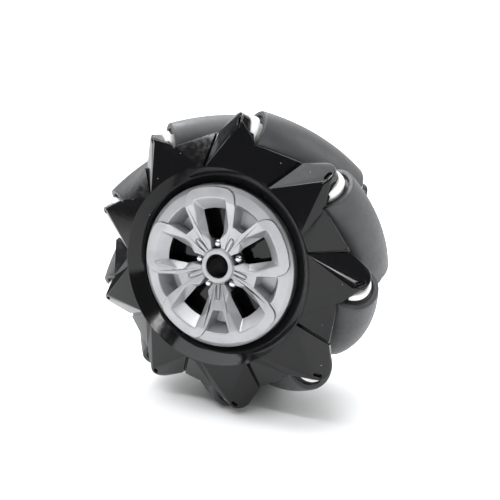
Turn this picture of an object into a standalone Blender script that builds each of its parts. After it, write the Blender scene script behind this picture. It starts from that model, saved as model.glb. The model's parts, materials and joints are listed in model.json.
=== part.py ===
"""Mecanum wheel: nine free-turning rollers at 45 degrees between two clawed flanges.

Metres, +Z up. The wheel turns about Y, its decorated front faces -Y, and the origin is the wheel's
centre. Angles round the wheel run clockwise from the top, as seen from the front.
"""

import math

import bmesh
import bpy
from mathutils import Matrix, Vector

MM = 0.001

# Driving dimensions, in millimetres.
WHEEL_RADIUS = 48.5
ROLLERS = 9
ROLLER_RADIUS = 9.9
AXIS_RADIUS = WHEEL_RADIUS - ROLLER_RADIUS
FIRST_ROLLER = -5.8
ROLLER_HALF = 20.1
GAP = 0.3

AXLE_RADIUS = 1.5
BUSH_BORE = 1.58
BUSH_RADIUS = 5.2
BUSH_INNER_FACE = 20.5
BUSH_OUTER_FACE = 22.8
SPIGOT_RADIUS = 4.2
SPIGOT_END = 17.6
TYRE_BORE = SPIGOT_RADIUS + GAP
LIP_RADIUS = 6.1
LIP_DEPTH = 1.0

BOSS_RADIUS = 4.25
BOSS_FACE = BUSH_OUTER_FACE + GAP
BOSS_END = 26.0
AXLE_END = 25.2
ROLLER_CLEARANCE = 0.8
BUSH_CLEARANCE = 0.7

DRUM_OUTER = 27.6
DRUM_INNER = 25.9
BAND_INNER = 26.4
BAND_OUTER = 30.75
BAND_FRONT = 22.8
BAND_BACK = 17.8
WEB_BORE = 6.5
FRONT_WEB = (11.7, 9.2)
REAR_WEB = (16.0, 13.5)

RIM_RADIUS = 25.6
RIM_EDGE = 19.4
RIM_CROWN = 20.5
RIM_HUB_FACE = 18.1
RIM_BACK = FRONT_WEB[0] + GAP
HUB_HOLE = 3.8
HUB_BOSS = 4.9
SPOKES = 5
SPOKE_TURN = -3.0
LUG_CIRCLE = 7.1
LUG_SEAT = 15.4
LUG_HOLE = 1.1
WINDOW_FLOOR = 17.0
POCKET_FLOOR = 15.5

CORE_BORE = 4.3
CORE_SPIGOT = WEB_BORE - GAP
COLLAR_RADIUS = 11.0
SCREW_CIRCLE = 8.6
SCREWS = 3
SCREW_HOLE = 1.55
SCREW_DEPTH = 8.0
SCREW_START = 60.0

SHAFT_BORE = 3.0
SLEEVE_FRONT = 2.0
HEX_RADIUS = 6.9
HEX_FRONT = 17.8
HEX_REAR = 22.6
SET_SCREW_PLACE = 20.2
SET_SCREW_HOLE = 1.6
SET_SCREW_ANGLE = 30.0

# Sides of the turned pieces.
TYRE_SIDES = 18
SMALL_SIDES = 12
RING_SIDES = 45
BOSS_SIDES = 14
CLEARANCE_SIDES = 20
BARREL_STEPS = 7

# The claw's corners: degrees clockwise from the claw's tip, radius, and height towards the face.
TIP_ANGLE = math.degrees(math.atan(BOSS_END / math.sqrt(2) / AXIS_RADIUS))
RIDGE_FOOT = (-11.0, 30.7, 22.7)
BEND_FOOT = (18.4, 30.7, 22.7)
NOTCH_FOOT = (26.6, 30.2, 22.5)
BUSH_CORNER = (12.0, 39.8, 20.3)
TRAILING_CORNER = (30.4, 40.8, 16.5)
LEADING_CORNER = (-8.0, 41.2, 16.0)
CLAW_WALL = 2.2
CLAW_ROOT = (DRUM_OUTER - 0.6, 17.5)
NOTCH_STEP = 0.8
FOOT_STEPS = 6


def new_collection(name, hidden=False):
    collection = bpy.data.collections.new(name)
    bpy.context.scene.collection.children.link(collection)
    collection.hide_render = hidden
    return collection


def material(name, colour, roughness, metallic=0.0):
    made = bpy.data.materials.new(name)
    made.use_nodes = True
    shader = made.node_tree.nodes["Principled BSDF"]
    shader.inputs["Base Color"].default_value = (*colour, 1.0)
    shader.inputs["Roughness"].default_value = roughness
    shader.inputs["Metallic"].default_value = metallic
    return made


def object_from_bmesh(name, mesh, collection):
    data = bpy.data.meshes.new(name)
    mesh.to_mesh(data)
    mesh.free()
    made = bpy.data.objects.new(name, data)
    collection.objects.link(made)
    return made


def solid(made):
    """The object's evaluated shape, kept as its own mesh."""
    bpy.context.view_layer.update()
    evaluated = made.evaluated_get(bpy.context.evaluated_depsgraph_get())
    data = bpy.data.meshes.new_from_object(evaluated)
    made.modifiers.clear()
    made.data = data
    return made


def turned(name, profile, sides, collection, closed=True):
    """A profile of (radius, height) points in millimetres, turned about Z.

    A closed profile leaves its bore open; an open one starts and ends on the axis.
    """
    mesh = bmesh.new()
    corners = [mesh.verts.new((radius * MM, 0.0, height * MM)) for radius, height in profile]
    for first, second in zip(corners, corners[1:]):
        mesh.edges.new((first, second))
    if closed:
        mesh.edges.new((corners[-1], corners[0]))
    made = object_from_bmesh(name, mesh, collection)
    screw = made.modifiers.new("turn", "SCREW")
    screw.axis = "Z"
    screw.angle = math.tau
    screw.steps = sides
    screw.render_steps = sides
    screw.use_merge_vertices = True
    screw.merge_threshold = 0.00001
    return solid(made)


def cylinder(name, radius, low, high, sides, collection):
    return turned(name, [(0, high), (radius, high), (radius, low), (0, low)], sides, collection, closed=False)


def prism(name, outline, low, high, collection):
    """A flat outline of (x, y) points in millimetres, standing from low to high along Z."""
    mesh = bmesh.new()
    face = mesh.faces.new([mesh.verts.new((x * MM, y * MM, low * MM)) for x, y in outline])
    mesh.normal_update()
    if face.normal.z > 0:
        face.normal_flip()
    top = bmesh.ops.extrude_face_region(mesh, geom=[face])["geom"]
    moved = [item for item in top if isinstance(item, bmesh.types.BMVert)]
    bmesh.ops.translate(mesh, verts=moved, vec=(0, 0, (high - low) * MM))
    bmesh.ops.recalc_face_normals(mesh, faces=mesh.faces)
    return object_from_bmesh(name, mesh, collection)


def hull(name, points, collection):
    mesh = bmesh.new()
    for point in points:
        mesh.verts.new(point)
    found = bmesh.ops.convex_hull(mesh, input=mesh.verts)
    loose = {item for item in found["geom_interior"] + found["geom_unused"]}
    bmesh.ops.delete(mesh, geom=[v for v in loose if isinstance(v, bmesh.types.BMVert)], context="VERTS")
    bmesh.ops.recalc_face_normals(mesh, faces=mesh.faces)
    return object_from_bmesh(name, mesh, collection)


def combine(made, other, operation):
    step = made.modifiers.new(operation.lower(), "BOOLEAN")
    step.operation = operation
    step.object = other
    return solid(made)


def finish(made, finish_material, sharp=35.0):
    """Gives the piece its material, and smooth shading with its real edges left sharp."""
    made.data.materials.clear()
    made.data.materials.append(finish_material)
    made.data.shade_smooth()
    made.data.set_sharp_from_angle(angle=math.radians(sharp))
    return made


# Local Z of a wheel piece points to the face, which is -Y.
FACE = Matrix.Rotation(math.radians(90), 4, "X")


def around(degrees):
    """Turns a piece clockwise about the wheel's axis, as seen from the front."""
    return Matrix.Rotation(math.radians(degrees), 4, "Y")


def roller_place(index):
    """Local Z along the roller's axis, towards the back, and local X outwards."""
    outward = Vector((0, 0, 1))
    axis = Vector((1, 1, 0)).normalized()
    side = axis.cross(outward)
    turn = Matrix((outward, side, axis)).transposed().to_4x4()
    return around(roller_angle(index)) @ Matrix.Translation(outward * AXIS_RADIUS * MM) @ turn


def roller_angle(index):
    return FIRST_ROLLER + 360.0 / ROLLERS * index


def barrel_radius(place):
    """The roller's radius at this place along its axis, so that its outside lies on the wheel's circle."""
    low, high = 0.0, 2.0 * abs(place) + 1.0
    for _ in range(40):
        middle = (low + high) / 2
        reach = math.hypot(AXIS_RADIUS, middle / math.sqrt(2))
        lean = middle / math.sqrt(2) / reach
        if middle + (WHEEL_RADIUS - reach) * lean / math.sqrt(2) < abs(place):
            low = middle
        else:
            high = middle
    reach = math.hypot(AXIS_RADIUS, low / math.sqrt(2))
    lean = low / math.sqrt(2) / reach
    return (WHEEL_RADIUS - reach) * math.sqrt(1 - lean * lean / 2)


def barrel_profile(half, steps, extra=0.0):
    """Points down the roller's outer side, from its far end to its near one."""
    places = [half * math.sin(math.pi / 2 * (1 - 2 * step / steps)) for step in range(steps + 1)]
    return [(barrel_radius(place) + extra, place) for place in places]


def tyre(collection):
    """The rubber barrel: a raised lip round each end, and a bore through it."""
    outer = barrel_profile(ROLLER_HALF, BARREL_STEPS)
    recess = ROLLER_HALF - LIP_DEPTH
    near = [(LIP_RADIUS, -ROLLER_HALF), (LIP_RADIUS, -recess), (TYRE_BORE, -recess)]
    far = [(radius, -height) for radius, height in reversed(near)]
    return turned("tyre", outer + near + far, TYRE_SIDES, collection)


def tyre_core(collection):
    end = SPIGOT_END - GAP
    outer = TYRE_BORE - GAP
    bore = AXLE_RADIUS + 2 * GAP
    return turned("core", [(outer, end), (outer, -end), (bore, -end), (bore, end)], SMALL_SIDES, collection)


def bush(collection):
    """A flanged bush at the roller's far end: its spigot is inside the tyre, its flange outside."""
    edge = 0.5
    profile = [
        (BUSH_RADIUS - edge, BUSH_OUTER_FACE),
        (BUSH_RADIUS, BUSH_OUTER_FACE - edge),
        (BUSH_RADIUS, BUSH_INNER_FACE),
        (SPIGOT_RADIUS, BUSH_INNER_FACE),
        (SPIGOT_RADIUS, SPIGOT_END),
        (BUSH_BORE, SPIGOT_END),
        (BUSH_BORE, BUSH_OUTER_FACE),
    ]
    return turned("bush", profile, SMALL_SIDES, collection)


def roller_clearance(collection):
    """The room that a turning roller and its two bushes need."""
    half = ROLLER_HALF + ROLLER_CLEARANCE
    bushes = BUSH_RADIUS + BUSH_CLEARANCE
    profile = [(0, BOSS_FACE), (bushes, BOSS_FACE), (bushes, half)]
    profile += barrel_profile(half, BARREL_STEPS + 1, ROLLER_CLEARANCE)
    profile += [(bushes, -half), (bushes, -BOSS_FACE), (0, -BOSS_FACE)]
    return turned("roller_clearance", profile, CLEARANCE_SIDES, collection, closed=False)


def claw_point(corner, behind=0.0, tip=-TIP_ANGLE):
    """A corner of the claw of the roller at the top, moved back by the distance behind."""
    degrees, radius, height = corner
    angle = math.radians(tip + degrees)
    return Vector((radius * math.sin(angle), behind - height, radius * math.cos(angle))) * MM


def foot_arc(first, last, steps):
    """Corners along the band's outer edge, between two feet of the claw."""
    share = [step / steps for step in range(steps + 1)]
    return [tuple(a + (b - a) * part for a, b in zip(first, last)) for part in share]


def claw(cutters):
    """One claw with its axle boss, and the lower web that joins it to the next claw."""
    place = roller_place(0)
    turn = around(-FIRST_ROLLER)
    boss = []
    for height in (-BOSS_END, -BOSS_FACE):
        for step in range(BOSS_SIDES):
            angle = math.tau * step / BOSS_SIDES
            rim = Vector((BOSS_RADIUS * math.cos(angle), BOSS_RADIUS * math.sin(angle), height)) * MM
            boss.append(turn @ place @ rim)
    foot = foot_arc(RIDGE_FOOT, BEND_FOOT, FOOT_STEPS)
    root = [claw_point((degrees, *CLAW_ROOT)) for degrees, _, _ in foot]
    outer = [claw_point(BUSH_CORNER), claw_point(BUSH_CORNER, CLAW_WALL)]
    side = [claw_point(LEADING_CORNER), claw_point(LEADING_CORNER, CLAW_WALL)]
    main = hull("claw", [claw_point(point) for point in foot] + root + outer + side + boss, cutters)

    foot = foot_arc(BEND_FOOT, NOTCH_FOOT, 2)
    root = [claw_point((degrees, *CLAW_ROOT)) for degrees, _, _ in foot]
    edge = (BUSH_CORNER, TRAILING_CORNER)
    corners = [claw_point(corner, back) for corner in edge for back in (0, CLAW_WALL)]
    web = hull("claw_web", [claw_point(point) for point in foot] + root + corners, cutters)

    pitch = 360.0 / ROLLERS
    ends = [NOTCH_FOOT, (pitch + RIDGE_FOOT[0], NOTCH_FOOT[1], NOTCH_FOOT[2]), TRAILING_CORNER]
    ends.append((pitch + LEADING_CORNER[0], TRAILING_CORNER[1], LEADING_CORNER[2]))
    strip = [claw_point(corner, back) for corner in ends for back in (NOTCH_STEP, CLAW_WALL)]
    strip += [claw_point((corner[0], *CLAW_ROOT)) for corner in ends[:2]]
    notch = hull("claw_notch", strip, cutters)
    combine(main, web, "UNION")
    combine(main, notch, "UNION")
    return main


def flange_profile(web):
    """The band, the drum's half and the web, as one turned section; heights are towards the face."""
    front, back = web
    return [
        (WEB_BORE, front),
        (DRUM_INNER, front),
        (DRUM_INNER, BAND_BACK - 0.6),
        (BAND_INNER, BAND_BACK),
        (BAND_OUTER - 0.5, BAND_FRONT),
        (BAND_OUTER, BAND_FRONT - 0.2),
        (BAND_OUTER, BAND_FRONT - 1.5),
        (DRUM_OUTER, BAND_BACK - 0.8),
        (DRUM_OUTER, GAP / 2),
        (DRUM_INNER - 0.3, GAP / 2),
        (DRUM_INNER - 0.3, back),
        (WEB_BORE, back),
    ]


def claw_ring(name, web, collection, cutters):
    """A flange: the turned section with nine claws, cleared for the rollers and drilled for axles."""
    body = turned(name, flange_profile(web), RING_SIDES, collection)
    body.data.transform(FACE)
    pattern = claw(cutters)
    clearance = roller_clearance(cutters)
    axle_hole = cylinder("axle_hole", AXLE_RADIUS + GAP, -AXLE_END - GAP, 0, SMALL_SIDES, cutters)
    for index in range(ROLLERS):
        pattern.matrix_world = around(roller_angle(index))
        combine(body, pattern, "UNION")
    for index in range(ROLLERS):
        for cutter in (clearance, axle_hole):
            cutter.matrix_world = roller_place(index)
            combine(body, cutter, "DIFFERENCE")
    return body


def drill(body, radius, low, high, circle, count, start, cutters):
    """Holes along the wheel's axis, evenly round a circle."""
    hole = cylinder("hole", radius, low, high, SMALL_SIDES, cutters)
    for index in range(count):
        turn = around(start + 360.0 / count * index)
        hole.matrix_world = turn @ Matrix.Translation((0, 0, circle * MM)) @ FACE
        combine(body, hole, "DIFFERENCE")


def mirrored(corners, height):
    """These corners and their mirror images, at this height towards the face."""
    return [FACE @ Vector((side * x, z, height)) * MM for x, z in corners for side in (1, -1)]


def rim_cover(collection, cutters):
    """The silver spoked cover: a dished disc with five deep windows and five shallow pockets."""
    profile = [
        (HUB_BOSS, RIM_HUB_FACE),
        (HUB_BOSS + 0.3, RIM_HUB_FACE - 0.5),
        (20.5, RIM_CROWN),
        (23.6, RIM_CROWN - 0.2),
        (RIM_RADIUS, RIM_EDGE),
        (RIM_RADIUS, RIM_BACK),
        (HUB_HOLE, RIM_BACK),
        (HUB_HOLE, RIM_HUB_FACE),
    ]
    body = turned("rim_cover", profile, 60, collection)
    body.data.transform(FACE)
    mouth = mirrored([(5.5, 20.8), (5.0, 10.8), (2.0, 8.9)], RIM_CROWN + 0.3)
    throat = [(3.8, 17.8), (1.9, 9.3)]
    floor = mirrored(throat, WINDOW_FLOOR)
    funnel = hull("window", mouth + floor, cutters)
    through = mirrored(throat, WINDOW_FLOOR + 0.5) + mirrored(throat, RIM_BACK - 1)
    opening = hull("window_throat", through, cutters)
    pocket = [(4.1, 20.8), (1.8, 14.0), (-1.8, 14.0), (-4.1, 20.8)]
    pocket = prism("pocket", pocket, POCKET_FLOOR, RIM_CROWN + 2, cutters)
    inner, outer = LUG_CIRCLE - 1.7, LUG_CIRCLE + 2.4
    seat = [(1.65, inner), (1.65, outer), (-1.65, outer), (-1.65, inner)]
    seat = prism("lug_seat", seat, LUG_SEAT, RIM_CROWN + 2, cutters)
    pocket.data.transform(FACE)
    seat.data.transform(FACE)
    for cutter, start in ((funnel, 0), (opening, 0), (seat, 0), (pocket, 180 / SPOKES)):
        for index in range(SPOKES):
            cutter.matrix_world = around(SPOKE_TURN + start + 360.0 / SPOKES * index)
            combine(body, cutter, "DIFFERENCE")
    drill(body, LUG_HOLE, RIM_BACK - 1, LUG_SEAT + 1, LUG_CIRCLE, SPOKES, SPOKE_TURN, cutters)
    return body


def hub_core(collection, cutters):
    """The spacer between the two webs, with a spigot through each."""
    profile = [
        (CORE_SPIGOT, FRONT_WEB[0]),
        (CORE_SPIGOT, FRONT_WEB[1] - GAP),
        (COLLAR_RADIUS, FRONT_WEB[1] - GAP),
        (COLLAR_RADIUS, -REAR_WEB[1] + GAP),
        (CORE_SPIGOT, -REAR_WEB[1] + GAP),
        (CORE_SPIGOT, -HEX_FRONT + GAP),
        (CORE_BORE, -HEX_FRONT + GAP),
        (CORE_BORE, FRONT_WEB[0]),
    ]
    body = turned("hub_core", profile, 32, collection)
    body.data.transform(FACE)
    floor = -REAR_WEB[1] + GAP
    drill(body, SCREW_HOLE, floor - 1, floor + SCREW_DEPTH, SCREW_CIRCLE, SCREWS, SCREW_START, cutters)
    return body


def shaft_coupling(collection, cutters):
    """The steel sleeve for the motor's shaft, with a hexagonal head at the back."""
    outer = CORE_BORE - GAP
    back = -HEX_FRONT - 1
    sleeve = [(outer, SLEEVE_FRONT), (outer, back), (SHAFT_BORE, back), (SHAFT_BORE, SLEEVE_FRONT)]
    body = turned("shaft_coupling", sleeve, 24, collection)
    head = cylinder("hex_head", HEX_RADIUS, -HEX_REAR, -HEX_FRONT, 6, cutters)
    bore = cylinder("hex_bore", SHAFT_BORE, -HEX_REAR - 1, -HEX_FRONT + 1, 24, cutters)
    combine(head, bore, "DIFFERENCE")
    combine(body, head, "UNION")
    body.data.transform(FACE)
    hole = cylinder("set_screw_hole", SET_SCREW_HOLE, SHAFT_BORE - 1.5, HEX_RADIUS + 1, SMALL_SIDES, cutters)
    hole.matrix_world = set_screw_place()
    combine(body, hole, "DIFFERENCE")
    return body


def set_screw_place():
    """Local Z out of a flat of the hexagonal head, from the wheel's axis."""
    return around(SET_SCREW_ANGLE) @ Matrix.Translation((0, SET_SCREW_PLACE * MM, 0))


def headed_pin(name, head, head_height, shank, length, sides, collection):
    """A round-headed fastener: its seat is at height zero and its shank runs down."""
    edge = 0.25 * head_height
    profile = [
        (0, head_height),
        (head - edge, head_height),
        (head, head_height - edge),
        (head, 0),
        (shank, 0),
        (shank, -length),
        (0, -length),
    ]
    return turned(name, profile, sides, collection, closed=False)


def place_copy(pattern, name, matrix, collection):
    """A separate object that shares the pattern's mesh."""
    made = bpy.data.objects.new(name, pattern.data)
    collection.objects.link(made)
    made.matrix_world = matrix
    return made


def build():
    for old in list(bpy.data.objects):
        bpy.data.objects.remove(old)
    wheel = new_collection("mecanum_wheel")
    cutters = new_collection("cutters", hidden=True)

    gloss = material("gloss_black_plastic", (0.012, 0.012, 0.013), 0.12)
    rubber = material("dark_rubber", (0.035, 0.036, 0.038), 0.55)
    core_plastic = material("black_plastic", (0.02, 0.02, 0.02), 0.5)
    nylon = material("white_nylon", (0.85, 0.85, 0.83), 0.4)
    silver = material("silver_plastic", (0.46, 0.46, 0.47), 0.38, 0.35)
    steel = material("steel", (0.55, 0.55, 0.56), 0.3, 1.0)

    front = claw_ring("front_flange", FRONT_WEB, wheel, cutters)
    finish(front, gloss)

    rear = claw_ring("rear_flange", REAR_WEB, wheel, cutters)
    half_turn = Matrix.Rotation(math.pi, 4, "Z")
    rear.data.transform(around(roller_angle(0)) @ half_turn @ around(-roller_angle(0)))
    drill(rear, SCREW_HOLE, -REAR_WEB[0] - 1, -REAR_WEB[1] + 1, SCREW_CIRCLE, SCREWS, SCREW_START, cutters)
    finish(rear, gloss)

    finish(rim_cover(wheel, cutters), silver, 30.0)
    finish(hub_core(wheel, cutters), core_plastic)
    finish(shaft_coupling(wheel, cutters), steel)

    rubber_tyre = finish(tyre(cutters), rubber)
    inner_core = finish(tyre_core(cutters), core_plastic)
    nylon_bush = finish(bush(cutters), nylon)
    axle = finish(cylinder("axle", AXLE_RADIUS, -AXLE_END, AXLE_END, SMALL_SIDES, cutters), steel)
    for index in range(ROLLERS):
        number = index + 1
        place = roller_place(index)
        hinge = bpy.data.objects.new(f"roller_{number}_axis", None)
        wheel.objects.link(hinge)
        hinge.matrix_world = place
        flipped = place @ Matrix.Rotation(math.pi, 4, "X")
        turning = (
            place_copy(rubber_tyre, f"roller_{number}_tyre", place, wheel),
            place_copy(inner_core, f"roller_{number}_core", place, wheel),
            place_copy(nylon_bush, f"roller_{number}_rear_bush", place, wheel),
            place_copy(nylon_bush, f"roller_{number}_front_bush", flipped, wheel),
        )
        for piece in turning:
            piece.parent = hinge
            piece.matrix_parent_inverse = place.inverted()
        place_copy(axle, f"axle_{number}", place, wheel)

    lug = finish(headed_pin("lug", 1.25, 1.3, LUG_HOLE - GAP, 3.0, SMALL_SIDES, cutters), steel)
    seat = Matrix.Translation((0, -(LUG_SEAT + GAP) * MM, LUG_CIRCLE * MM)) @ FACE
    for index in range(SPOKES):
        matrix = around(SPOKE_TURN + 360.0 / SPOKES * index) @ seat
        place_copy(lug, f"lug_bolt_{index + 1}", matrix, wheel)

    screw = headed_pin("screw", 2.4, 1.8, SCREW_HOLE - GAP, SCREW_DEPTH, SMALL_SIDES, cutters)
    finish(screw, steel)
    seat = Matrix.Translation((0, (REAR_WEB[0] + GAP) * MM, SCREW_CIRCLE * MM)) @ FACE.inverted()
    for index in range(SCREWS):
        matrix = around(SCREW_START + 360.0 / SCREWS * index) @ seat
        place_copy(screw, f"assembly_screw_{index + 1}", matrix, wheel)

    set_screw = cylinder("set", SET_SCREW_HOLE - GAP, SHAFT_BORE + GAP, 5.6, SMALL_SIDES, cutters)
    place_copy(finish(set_screw, steel), "coupling_set_screw", set_screw_place(), wheel)

    for used in list(cutters.objects):
        bpy.data.objects.remove(used)


build()
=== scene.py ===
"""The looks of the mecanum wheel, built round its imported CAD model.

Shapes are modelled in millimetres in the wheel's own frame, and turned into metres when they are
done. The wheel turns about Y and its decorated front faces -Y. Angles round the wheel run clockwise
from the top, seen from the front, and a height is a distance from the middle towards the front.
"""

import json
import math

import bmesh
import bpy
from mathutils import Matrix, Vector


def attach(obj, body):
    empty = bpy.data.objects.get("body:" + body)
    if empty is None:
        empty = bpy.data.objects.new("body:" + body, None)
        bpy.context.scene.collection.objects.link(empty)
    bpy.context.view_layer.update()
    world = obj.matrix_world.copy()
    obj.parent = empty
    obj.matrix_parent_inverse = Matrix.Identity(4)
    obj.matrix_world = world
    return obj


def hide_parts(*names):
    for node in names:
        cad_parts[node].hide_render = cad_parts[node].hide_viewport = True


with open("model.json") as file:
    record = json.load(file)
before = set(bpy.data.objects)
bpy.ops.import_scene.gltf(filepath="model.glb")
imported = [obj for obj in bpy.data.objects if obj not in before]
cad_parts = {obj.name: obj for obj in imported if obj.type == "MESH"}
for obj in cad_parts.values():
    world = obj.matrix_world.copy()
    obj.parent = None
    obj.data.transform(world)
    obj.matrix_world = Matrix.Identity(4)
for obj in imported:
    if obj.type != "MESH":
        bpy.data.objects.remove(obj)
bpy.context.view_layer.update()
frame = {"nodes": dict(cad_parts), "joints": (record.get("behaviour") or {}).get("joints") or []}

MM = 0.001

# The rollers' places come from the frame's hinges.
HINGES = [joint for joint in frame["joints"] if joint["child"].startswith("roller_")]
ROLLERS = len(HINGES)
PITCH = 360.0 / ROLLERS
FIRST_HINGE = Vector(HINGES[0]["pos_m"]) / MM
AXIS_RADIUS = FIRST_HINGE.length
FIRST_ROLLER = math.degrees(math.atan2(FIRST_HINGE.x, FIRST_HINGE.z))
WHEEL_RADIUS = 48.5
ROLLER_HALF = 20.1

# The pieces of a roller, and distances along its axis from its middle.
AXLE_RADIUS = 1.5
AXLE_END = 25.2
BUSH_RADIUS = 5.2
BUSH_INNER_FACE = 20.5
BUSH_OUTER_FACE = 22.8
SPIGOT_RADIUS = 4.2
SPIGOT_END = 17.6
TYRE_BORE = 4.5
LIP_RADIUS = 6.1
LIP_DEPTH = 1.0

# The claw's axle boss, and the room that is cut for a turning roller.
BOSS_RADIUS = 4.25
BOSS_FACE = 23.1
BOSS_END = 26.0
ROLLER_ROOM = 0.8
ROOM_HALF = ROLLER_HALF + ROLLER_ROOM
ROOM_CONE = 0.9
BUSH_ROOM = 5.7

# The flange's drum, its dished band and its webs.
DRUM_OUTER = 27.6
DRUM_INNER = 25.9
DRUM_MIDDLE = 0.15
DISH_FLOOR = 10.0
BAND_INNER = 26.4
BAND_OUTER = 30.75
BAND_BACK = 17.8
BAND_FRONT = 22.8
BAND_LIP = 0.45
WEB_BORE = 6.5
FRONT_WEB = (11.7, 9.2)
REAR_WEB = (-13.5, -16.0)

# The claw's corners: degrees clockwise from the claw's tip, radius, and height towards the face.
TIP_ANGLE = math.degrees(math.atan(BOSS_END / math.sqrt(2) / AXIS_RADIUS))
RIDGE_FOOT = (-11.4, 30.25, 22.45)
BEND_FOOT = (18.6, 30.25, 22.45)
NOTCH_FOOT = (26.6, 29.9, 22.25)
BUSH_CORNER = (12.3, 39.1, 20.35)
TRAILING_CORNER = (30.4, 40.8, 16.5)
LEADING_CORNER = (-8.0, 41.2, 16.0)
CLAW_ROOT = (DRUM_OUTER - 0.6, 17.5)
CLAW_WALL = 2.2
NOTCH_STEP = 0.8
CLAW_EDGE = 0.36
CLAW_SHARP = math.radians(18)
# The pocket's two ends are corners as above; its inward direction is of the roller at the top.
POCKET_LOW = (3.1, 43.1, 20.4)
POCKET_HIGH = (2.3, 45.3, 19.2)
POCKET_INWARD = (0.43, 0.72, -0.56)
POCKET_WIDTH = 0.9
POCKET_DEPTH = 1.0

# The rim cover: radii and heights; a petal is the raised frame round a window.
RIM_RADIUS = 25.6
RIM_EDGE = 19.4
RIM_CROWN = 20.5
RIM_HUB_FACE = 18.1
RIM_BACK = 12.0
HUB_HOLE = 3.8
HUB_BOSS = 5.3
RIM_BASE = 16.4
FRAME_RADIUS = 25.4
SPOKES = 5
SPOKE_TURN = -3.0
PETAL_RISE = 0.4
PETAL_TOP = 24.6
PETAL_SIDE = 8.1
PETAL_CORNER = 3.2
STEM_FORK = 14.6
STEM_START = 6.0
STEM_HEIGHT = 17.7
CROWN_START = 20.5
SPOKE_SLOPE = math.atan((RIM_CROWN - STEM_HEIGHT) / (CROWN_START - STEM_START))
SLOT_PLACE = 8.3
WINDOW_FLOOR = 17.0
WINDOW_HALF_ANGLE = 19
POCKET_FLOOR = 14.6
GROOVE_WIDTH = 0.4
GROOVE_DEPTH = 0.6
GROOVE_TOP = 22.6
GROOVE_SIDE = 17.5
LUG_CIRCLE = 7.1
LUG_SEAT = 15.4
RIM_EDGE_ROUND = 0.3
RIM_SHARP = math.radians(24)

# The screws, and the shaft's coupling with its hexagonal head.
SCREW_CIRCLE = 8.6
SCREW_HOLE = 1.55
SCREWS = 3
SCREW_START = 60.0
SHAFT_BORE = 3.0
SLEEVE_RADIUS = 4.0
SLEEVE_FRONT = 2.0
HEX_RADIUS = 6.9
HEX_FRONT = 17.8
HEX_REAR = 22.6
SET_SCREW_PLACE = 20.2
SET_SCREW_ANGLE = 30.0
SET_SCREW_HOLE = 1.6

# The studio, in metres; its white background is dim as a light.
FLOOR_HALF_WIDTH = 5.0
FLOOR_FRONT = 2.0
BACKDROP_START = 1.3
BACKDROP_BEND = 0.6
BACKDROP_TOP = 2.4
WORLD_LIGHT = 0.17
WORLD_SEEN = 1.2

# Local Z of a wheel piece points to the face, which is -Y.
FACE = Matrix.Rotation(math.radians(90), 4, "X")


# Mesh making


def mesh_object(name, mesh):
    data = bpy.data.meshes.new(name)
    mesh.to_mesh(data)
    mesh.free()
    made = bpy.data.objects.new(name, data)
    bpy.context.scene.collection.objects.link(made)
    return made


def settle(piece):
    """Turns the piece's modifiers into its own mesh."""
    bpy.context.view_layer.update()
    evaluated = piece.evaluated_get(bpy.context.evaluated_depsgraph_get())
    data = bpy.data.meshes.new_from_object(evaluated)
    piece.modifiers.clear()
    piece.data = data
    return piece


def copied(piece, name):
    made = piece.copy()
    made.name = name
    made.data = piece.data.copy()
    bpy.context.scene.collection.objects.link(made)
    return made


def remove(*pieces):
    for piece in pieces:
        bpy.data.objects.remove(piece)


def polygon(radius, sides):
    """A regular outline whose first corner is on X."""
    angles = [math.tau * step / sides for step in range(sides)]
    return [(radius * math.cos(angle), radius * math.sin(angle)) for angle in angles]


def rounded(corners, steps=4, closed=True):
    """An outline of (x, y, radius) corners, each rounded by an arc of its radius."""
    points = []
    for index, (x, y, radius) in enumerate(corners):
        here = Vector((x, y))
        end_point = not closed and index in (0, len(corners) - 1)
        if radius == 0 or end_point:
            points.append((x, y))
            continue
        before = (Vector(corners[index - 1][:2]) - here).normalized()
        after = (Vector(corners[(index + 1) % len(corners)][:2]) - here).normalized()
        half = before.angle(after) / 2
        centre = here + (before + after).normalized() * radius / math.sin(half)
        first = here + before * radius / math.tan(half) - centre
        last = here + after * radius / math.tan(half) - centre
        turn = math.copysign(first.angle(last), first.cross(last))
        for step in range(steps + 1):
            point = centre + Matrix.Rotation(turn * step / steps, 2) @ first
            points.append((point.x, point.y))
    return points


def turned(name, profile, sides, closed=True):
    """A profile of (radius, height) points turned about Z; it runs down its outer side."""
    mesh = bmesh.new()
    corners = [mesh.verts.new((radius, 0.0, height)) for radius, height in profile]
    for first, second in zip(corners, corners[1:]):
        mesh.edges.new((first, second))
    if closed:
        mesh.edges.new((corners[-1], corners[0]))
    made = mesh_object(name, mesh)
    screw = made.modifiers.new("turn", "SCREW")
    screw.axis = "Z"
    screw.angle = math.tau
    screw.steps = sides
    screw.render_steps = sides
    screw.use_merge_vertices = True
    screw.merge_threshold = 0.001
    return settle(made)


def prism(name, outline, low, high):
    """A flat outline of (x, y) points, standing from low to high along Z."""
    mesh = bmesh.new()
    face = mesh.faces.new([mesh.verts.new((x, y, low)) for x, y in outline])
    top = bmesh.ops.extrude_face_region(mesh, geom=[face])["geom"]
    moved = [item for item in top if isinstance(item, bmesh.types.BMVert)]
    bmesh.ops.translate(mesh, verts=moved, vec=(0, 0, high - low))
    bmesh.ops.recalc_face_normals(mesh, faces=mesh.faces)
    return mesh_object(name, mesh)


def hull(name, points):
    """The convex shape round these points."""
    mesh = bmesh.new()
    for point in points:
        mesh.verts.new(point)
    found = bmesh.ops.convex_hull(mesh, input=mesh.verts)
    loose = set(found["geom_interior"] + found["geom_unused"])
    inside = [item for item in loose if isinstance(item, bmesh.types.BMVert)]
    bmesh.ops.delete(mesh, geom=inside, context="VERTS")
    bmesh.ops.recalc_face_normals(mesh, faces=mesh.faces)
    flat = math.radians(0.3)
    bmesh.ops.dissolve_limit(mesh, angle_limit=flat, verts=mesh.verts, edges=mesh.edges)
    return mesh_object(name, mesh)


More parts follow.
